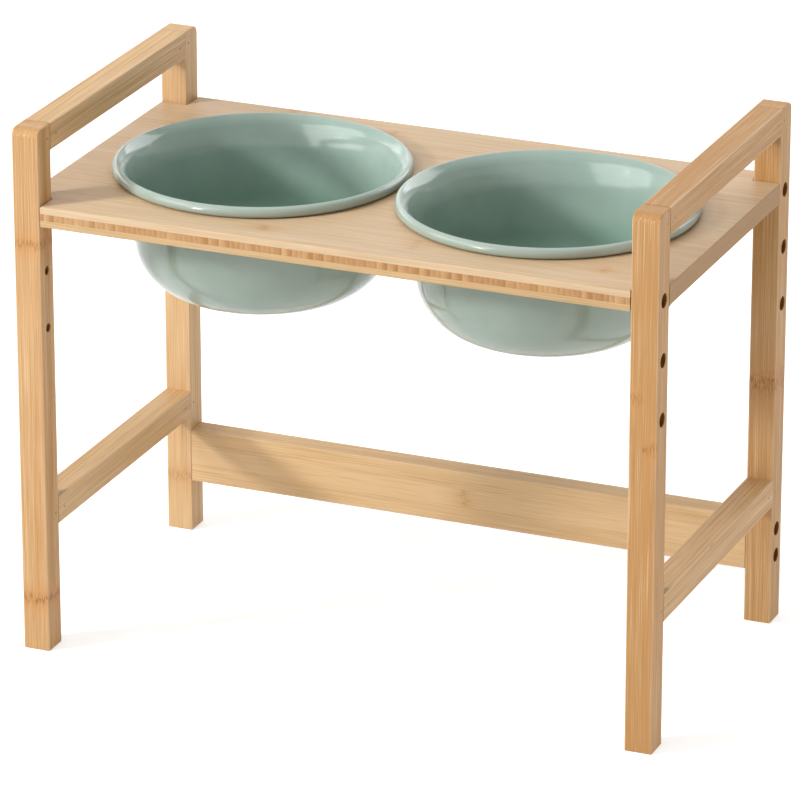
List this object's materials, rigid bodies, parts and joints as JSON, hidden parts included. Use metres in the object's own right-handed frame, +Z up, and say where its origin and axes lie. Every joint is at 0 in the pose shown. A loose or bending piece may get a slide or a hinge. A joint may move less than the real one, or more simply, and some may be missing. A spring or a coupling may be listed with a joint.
{
  "type": "raised pet feeder with ceramic bowls",
  "caption": "Raised bamboo feeder: side frames with handle rails, a drilled three-ply shelf at a bolted height, and glazed ceramic bowls that hang in it by their rims.",
  "frame": {"origin": "on the floor, under the middle of the stand", "axes": "+X to the right along the shelf, seen from the front; +Y from the front to the stretcher at the back; +Z up"},
  "size_m": [0.476, 0.264, 0.39],
  "materials": {
    "bamboo_frame": "clear satin lacquer over laminated bamboo",
    "bamboo_ply": "clear satin lacquer over bamboo ply",
    "bamboo_core": "end grain strips of the cross ply",
    "sage_glaze": "glossy sage green glaze",
    "bolt_steel": "dark oxide",
    "insert_brass": "turned",
    "dowel_wood": "plain",
    "brad_steel": "plain wire"
  },
  "bodies": {
    "stand": {"leg_front_left": "bamboo_frame", "leg_rear_left": "bamboo_frame", "leg_front_right": "bamboo_frame", "leg_rear_right": "bamboo_frame", "handle_left": "bamboo_frame", "handle_right": "bamboo_frame", "side_rail_left": "bamboo_frame", "side_rail_right": "bamboo_frame", "rear_stretcher": "bamboo_frame", "shelf_top_ply": "bamboo_ply", "shelf_core_ply": "bamboo_core", "shelf_bottom_ply": "bamboo_ply", "stretcher_bolts": "bolt_steel", "shelf_inserts": "insert_brass", "stretcher_inserts": "insert_brass", "handle_dowels": "dowel_wood", "side_rail_dowels": "dowel_wood", "brads": "brad_steel"},
    "bowl_left": {"bowl_left": "sage_glaze"},
    "bowl_right": {"bowl_right": "sage_glaze"},
    "shelf_bolt_front_left": {"shelf_bolt_front_left": "bolt_steel"},
    "shelf_bolt_rear_left": {"shelf_bolt_rear_left": "bolt_steel"},
    "shelf_bolt_front_right": {"shelf_bolt_front_right": "bolt_steel"},
    "shelf_bolt_rear_right": {"shelf_bolt_rear_right": "bolt_steel"}
  },
  "joints": [
    {"name": "bowl_left_lift", "type": "slide", "parent": "stand", "child": "bowl_left", "axis": [0, 0, 1], "range_m": [0, 0.11]},
    {"name": "bowl_right_lift", "type": "slide", "parent": "stand", "child": "bowl_right", "axis": [0, 0, 1], "range_m": [0, 0.11]},
    {"name": "shelf_bolt_front_left_withdraw", "type": "slide", "parent": "stand", "child": "shelf_bolt_front_left", "axis": [-1, 0, 0], "range_m": [0, 0.035]},
    {"name": "shelf_bolt_rear_left_withdraw", "type": "slide", "parent": "stand", "child": "shelf_bolt_rear_left", "axis": [-1, 0, 0], "range_m": [0, 0.035]},
    {"name": "shelf_bolt_front_right_withdraw", "type": "slide", "parent": "stand", "child": "shelf_bolt_front_right", "axis": [1, 0, 0], "range_m": [0, 0.035]},
    {"name": "shelf_bolt_rear_right_withdraw", "type": "slide", "parent": "stand", "child": "shelf_bolt_rear_right", "axis": [1, 0, 0], "range_m": [0, 0.035]}
  ]
}
